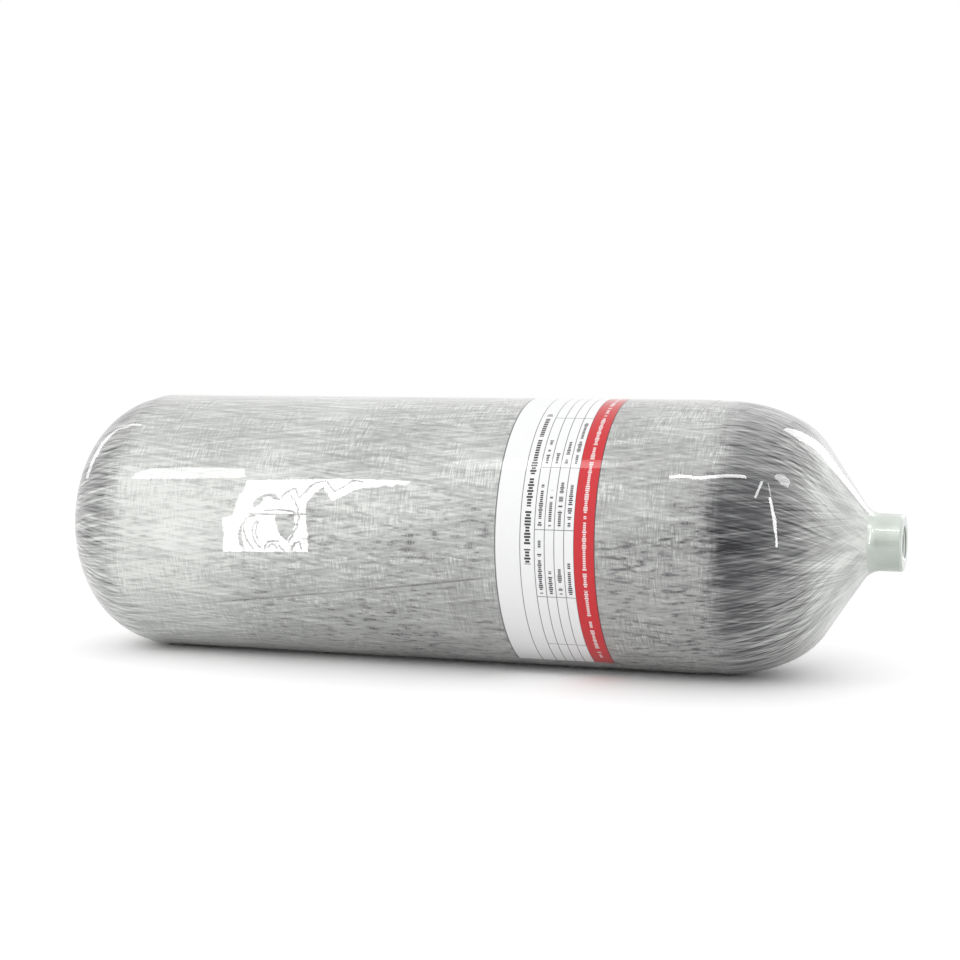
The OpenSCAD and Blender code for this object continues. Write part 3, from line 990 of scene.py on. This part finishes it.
# Things outside the window that stand dim against it: a few patches, and lines like contours on a map
DIM_DISTANCE = 1.2
gleam("dim_pane", [
    (175.5, 9), (187, 9), (188, 5), (186, 1.5), (183, -2), (179.5, -0.5), (176.5, 1.5), (175.5, 4.5),
], 1.2, DIM_DISTANCE)
gleam("dim_crescent", [
    (151, 5.5), (148.5, 3.5), (147, 1), (147, -2.5), (148, -5), (150, -6.5), (151, -6), (150, -3.5),
    (149.5, 0), (150, 2.5), (151.5, 5),
], 0.8, DIM_DISTANCE)
gleam("dim_ridge", [
    (158, 15), (161, 16), (165.5, 17.5), (169.5, 18.5), (174, 17), (175.5, 15), (172, 15.5), (168, 16.5),
    (165, 16), (163.5, 13.5), (158.5, 11.5), (156.5, 12.5),
], 2.5, DIM_DISTANCE)
DIM_LINES = (
    ((175.5, 15), (181, 19), (187, 20.5), (189, 18), (190.5, 16), (194.5, 19), (199, 23),
     (205, 24), (208, 22.5), (212, 19.5), (217.5, 21.5), (223, 24.5), (230.5, 24)),
    ((154.5, 9), (164, 9), (180, 9), (195.5, 9.5)),
    ((183, 17.5), (187, 15.5), (190, 12), (190.5, 8), (189, 4), (186, 0), (184, -2.5)),
    ((159, 8.5), (153.5, 7.5), (152, 4), (152, 0), (154, -3.5), (157.5, -6)),
    ((160.5, 6.5), (158, 4), (158, 0.5), (159.5, -2.5), (162.5, -5.5)),
    ((161.5, 6), (160.5, 3.5), (161, 0), (162.5, -2.5)),
    ((164.5, -6.5), (168.5, -2.5), (176, -2), (179, -5), (181.5, -6.5)),
    ((167.5, -5), (170.5, -3.5), (174, -3.5), (176.5, -5.5)),
    ((185.5, -6.5), (188, -2.5), (190, -2), (191.5, -5.5)),
    ((165.5, 10.5), (176, 11), (185, 10.5), (188.5, 9.5)),
)
DIM_LINE_WIDTH = 1.2
DIM_LINE_BRIGHTNESS = 1.2
for number, line in enumerate(DIM_LINES):
    # On the wall a line has its height in mm, and it gets its width across its run
    spots = [Vector((along, radians(angle) * SLEEVE_R)) for along, angle in line]
    sides = []
    for before, spot, after in zip(spots[:1] + spots, spots, spots[1:] + spots[-1:]):
        across = (after - before).orthogonal().normalized() * DIM_LINE_WIDTH / 2
        sides.append((spot + across, spot - across))
    edge = [side[0] for side in sides] + [side[1] for side in reversed(sides)]
    outline = [(u, degrees(v / SLEEVE_R)) for u, v in edge]
    gleam("dim_line_" + str(number + 1), outline, DIM_LINE_BRIGHTNESS, DIM_DISTANCE)

# The lamps and panels of the studio
gleam("left_strip", [
    (66, 22.6), (116, 23.6), (148, 24.8), (146, 28.9), (115, 28.9), (78, 27.9), (68, 25.4),
], 8)
gleam("overhead_soft", [
    (268, 30.5), (300, 30.2), (346, 31.8), (425, 33.6), (425, 36.6), (345, 36.2), (300, 35.4),
], 5, reach=0.26)
gleam("overhead_thin", [(429, 28.7), (453, 29.2), (474, 30.8), (473, 32.2), (453, 30.7), (429, 30.0)], 16)
gleam("right_small", [(479, 22.7), (480.5, 22.8), (483.5, 30.9), (482, 30.7)], 16)
gleam("right_upright", [
    (492, 2.0), (493.6, 2.0), (492.6, 9.6), (490.6, 18.4), (488.6, 24.2), (487, 24.0), (489, 18.3),
    (491, 9.5),
], 20)
gleam("right_upright_tip", [(488, 24.7), (488.8, 24.8), (486.3, 30.6), (485.8, 30.5)], 9)
gleam("right_patch", [(489, 33.8), (493, 31.4), (497, 30.5), (498, 33.9), (494, 36.6), (490, 36.0)], 9)
gleam("back_right", [
    (488, 65), (493, 63.8), (498, 63), (503, 64), (507, 66), (513, 66.5), (520, 66.5, 4), (520, 80, 4),
    (513, 79), (508, 76.5), (502, 73.5), (495, 70.8), (490, 68.4),
], 6)
gleam("back_left", [
    (59, 50.8), (50, 50.4), (42, 49.3), (37, 46), (33, 41), (31, 35.5), (29.5, 29.7), (28, 24.5),
    (24.5, 25.3), (25.5, 31.6), (27, 38), (29, 42.8), (32.5, 47), (37, 50), (42, 51.7), (50, 52),
    (59, 52.2),
], 4)
gleam("left_dim", [(95, -7.9), (128, -7.1), (128, 6.2), (96, 5.5)], 2.2, 1.4)
gleam("neck_top", [(541, 44), (556.5, 44), (556.5, 80), (541, 80)], 1.5)

# The dark side of the room, behind the camera
bpy.ops.object.select_all(action="DESELECT")
bpy.ops.mesh.primitive_plane_add(size=1.0, enter_editmode=True, location=(0, 0, 0))
bpy.ops.transform.resize(value=(2.4, 0.7, 1))
bpy.ops.transform.rotate(value=-pi / 2, orient_axis="X", center_override=(0, 0, 0))
bpy.ops.transform.translate(value=(0.9, -1.6, 0.15))
bpy.ops.object.mode_set(mode="OBJECT")
dark_card = bpy.context.object
dark_card.name = dark_card.data.name = "dark_card"
dark_card.data.materials.append(lamp_paint("dark side of the room", 0.1))
only_mirrored(dark_card)

key = bpy.data.lights.new("key", "AREA")
key.shape = "RECTANGLE"
key.size, key.size_y = 1.0, 1.0
key.energy = 4.0
key_holder = bpy.data.objects.new("key", key)
key_holder.location = (-0.9, -1.4, 1.5)
key_holder.rotation_euler = Vector((0.5, 0.8, -0.9)).to_track_quat("-Z", "Y").to_euler()
key_holder.visible_camera = key_holder.visible_glossy = False
bpy.context.collection.objects.link(key_holder)

bpy.context.scene.view_settings.view_transform = "Standard"
